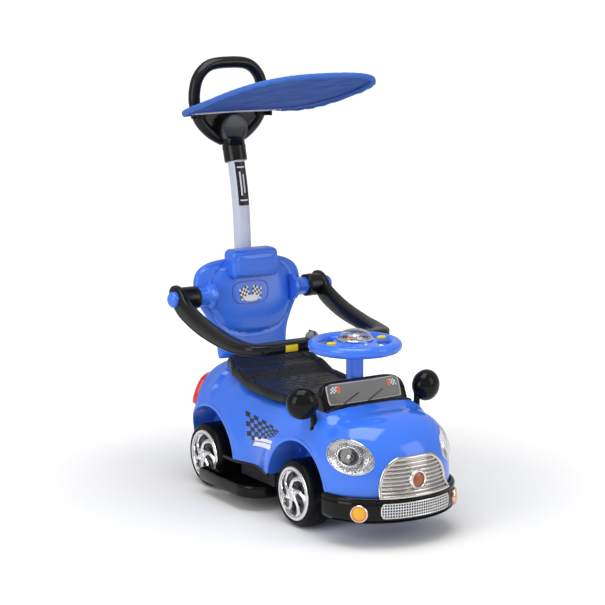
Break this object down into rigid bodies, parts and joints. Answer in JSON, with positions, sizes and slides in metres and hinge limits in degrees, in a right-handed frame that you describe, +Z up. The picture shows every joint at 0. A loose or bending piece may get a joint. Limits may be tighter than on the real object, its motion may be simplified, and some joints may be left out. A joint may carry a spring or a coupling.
{
  "type": "foot-to-floor ride-on car",
  "caption": "Foot-to-floor ride-on toy car with steering, lift-up seat over a bin, guard rail, backrest, tray footrests, push handle and tilting canopy.",
  "frame": {"origin": "bottom centre of the bounding box, on the ground under the car's middle", "axes": "+X to the driver's left, +Y from the car's nose to its push handle, +Z up"},
  "size_m": [0.42, 0.747, 0.93],
  "materials": {
    "blue_gloss": "glossy blue moulded plastic",
    "black_gloss": "glossy black moulded plastic",
    "black_satin": "satin black moulded plastic",
    "chrome_plate": "bright chrome plating over plastic",
    "steel_rod": "bright drawn steel",
    "clear_lens": "clear polished plastic",
    "amber_lens": "translucent amber plastic",
    "red_lens": "translucent red plastic",
    "yellow_button": "glossy yellow plastic",
    "tyre_black": "hard black moulded plastic tread",
    "screen_grey": "satin grey plastic",
    "bar_silver": "silver coated tube",
    "cloth_blue": "woven blue cloth"
  },
  "bodies": {
    "car": {"body_shell": "blue_gloss", "backrest": "blue_gloss", "headrest": "blue_gloss", "front_bumper": "black_gloss", "mirror_right": "black_gloss", "mirror_left": "black_gloss", "windscreen_frame": "black_gloss", "push_grip": "black_gloss", "footrest_right": "black_gloss", "footrest_left": "black_gloss", "chassis": "black_satin", "steering_carrier": "black_satin", "canopy_clip_right": "black_satin", "canopy_clip_left": "black_satin", "grille": "chrome_plate", "grille_badge": "chrome_plate", "headlight_reflector_right": "chrome_plate", "headlight_reflector_left": "chrome_plate", "bumper_mesh": "steel_rod", "seat_hinge_pin": "steel_rod", "kingpin_right": "steel_rod", "kingpin_left": "steel_rod", "rear_axle": "steel_rod", "guard_pin_right": "steel_rod", "guard_pin_left": "steel_rod", "headlight_lens_right": "clear_lens", "headlight_lens_left": "clear_lens", "fog_lamp_right": "amber_lens", "fog_lamp_left": "amber_lens", "tail_lamp_right": "red_lens", "tail_lamp_left": "red_lens", "windscreen_panel": "screen_grey", "grip_badge": "screen_grey", "push_bar": "bar_silver"},
    "seat": {"seat_lid": "black_satin"},
    "guard": {"guard_rail": "black_gloss", "guard_latch": "screen_grey"},
    "guard_push_right": {"guard_button_right": "blue_gloss"},
    "guard_push_left": {"guard_button_left": "blue_gloss"},
    "steering": {"steering_wheel": "blue_gloss", "steering_column": "blue_gloss", "steering_rod": "steel_rod", "horn_module": "chrome_plate", "horn_dome": "clear_lens"},
    "horn_push_right": {"horn_button_right": "yellow_button"},
    "horn_push_left": {"horn_button_left": "yellow_button"},
    "track_rod": {"tie_rod": "steel_rod"},
    "steered_hub_right": {"knuckle_right": "steel_rod"},
    "steered_hub_left": {"knuckle_left": "steel_rod"},
    "front_wheel_right": {"front_right_tyre": "tyre_black", "front_right_hubcap": "chrome_plate"},
    "front_wheel_left": {"front_left_tyre": "tyre_black", "front_left_hubcap": "chrome_plate"},
    "rear_wheel_right": {"rear_right_tyre": "tyre_black", "rear_right_hubcap": "chrome_plate"},
    "rear_wheel_left": {"rear_left_tyre": "tyre_black", "rear_left_hubcap": "chrome_plate"},
    "canopy": {"canopy_cloth": "cloth_blue", "canopy_frame": "bar_silver"}
  },
  "joints": [
    {"name": "seat_hinge", "type": "hinge", "parent": "car", "child": "seat", "pos_m": [0, -0.085, 0.245], "axis": [1, 0, 0], "range_deg": [0, 30]},
    {"name": "guard_hinge", "type": "hinge", "parent": "car", "child": "guard", "pos_m": [0, 0.2674, 0.417], "axis": [-1, 0, 0], "range_deg": [0, 80]},
    {"name": "guard_press_right", "type": "slide", "parent": "guard", "child": "guard_push_right", "axis": [1, 0, 0], "range_m": [0, 0.002], "stiffness_N_per_m": 300, "springref_m": -0.001},
    {"name": "guard_press_left", "type": "slide", "parent": "guard", "child": "guard_push_left", "axis": [-1, 0, 0], "range_m": [0, 0.002], "stiffness_N_per_m": 300, "springref_m": -0.001},
    {"name": "steering_turn", "type": "hinge", "parent": "car", "child": "steering", "pos_m": [0, -0.139, 0.1], "axis": [0, 0, 1], "range_deg": [-15, 15]},
    {"name": "horn_press_right", "type": "slide", "parent": "steering", "child": "horn_push_right", "axis": [0, 0, -1], "range_m": [0, 0.0015], "stiffness_N_per_m": 200, "springref_m": -0.001},
    {"name": "horn_press_left", "type": "slide", "parent": "steering", "child": "horn_push_left", "axis": [0, 0, -1], "range_m": [0, 0.0015], "stiffness_N_per_m": 200, "springref_m": -0.001},
    {"name": "track_rod_turn", "type": "hinge", "parent": "steering", "child": "track_rod", "pos_m": [0, -0.117, 0.0905], "axis": [0, 0, 1], "range_deg": [-15, 15]},
    {"name": "steered_hub_turn_right", "type": "hinge", "parent": "car", "child": "steered_hub_right", "pos_m": [-0.06, -0.1267, 0.07], "axis": [0, 0, 1], "range_deg": [-15, 15]},
    {"name": "steered_hub_turn_left", "type": "hinge", "parent": "car", "child": "steered_hub_left", "pos_m": [0.06, -0.1267, 0.07], "axis": [0, 0, 1], "range_deg": [-15, 15]},
    {"name": "front_wheel_spin_right", "type": "hinge", "parent": "steered_hub_right", "child": "front_wheel_right", "pos_m": [-0.11195, -0.1267, 0.07], "axis": [1, 0, 0], "continuous": true},
    {"name": "front_wheel_spin_left", "type": "hinge", "parent": "steered_hub_left", "child": "front_wheel_left", "pos_m": [0.11195, -0.1267, 0.07], "axis": [1, 0, 0], "continuous": true},
    {"name": "rear_wheel_spin_right", "type": "hinge", "parent": "car", "child": "rear_wheel_right", "pos_m": [-0.11195, 0.2347, 0.07], "axis": [1, 0, 0], "continuous": true},
    {"name": "rear_wheel_spin_left", "type": "hinge", "parent": "car", "child": "rear_wheel_left", "pos_m": [0.11195, 0.2347, 0.07], "axis": [1, 0, 0], "continuous": true},
    {"name": "canopy_tilt", "type": "hinge", "parent": "car", "child": "canopy", "pos_m": [0, 0.3345, 0.8093], "axis": [-1, 0, 0], "range_deg": [-25, 0]}
  ],
  "couplings": [
    {"joint": "track_rod_turn", "follows": "steering_turn", "ratio": -1},
    {"joint": "steered_hub_turn_right", "follows": "steering_turn", "ratio": 1},
    {"joint": "steered_hub_turn_left", "follows": "steering_turn", "ratio": 1}
  ]
}
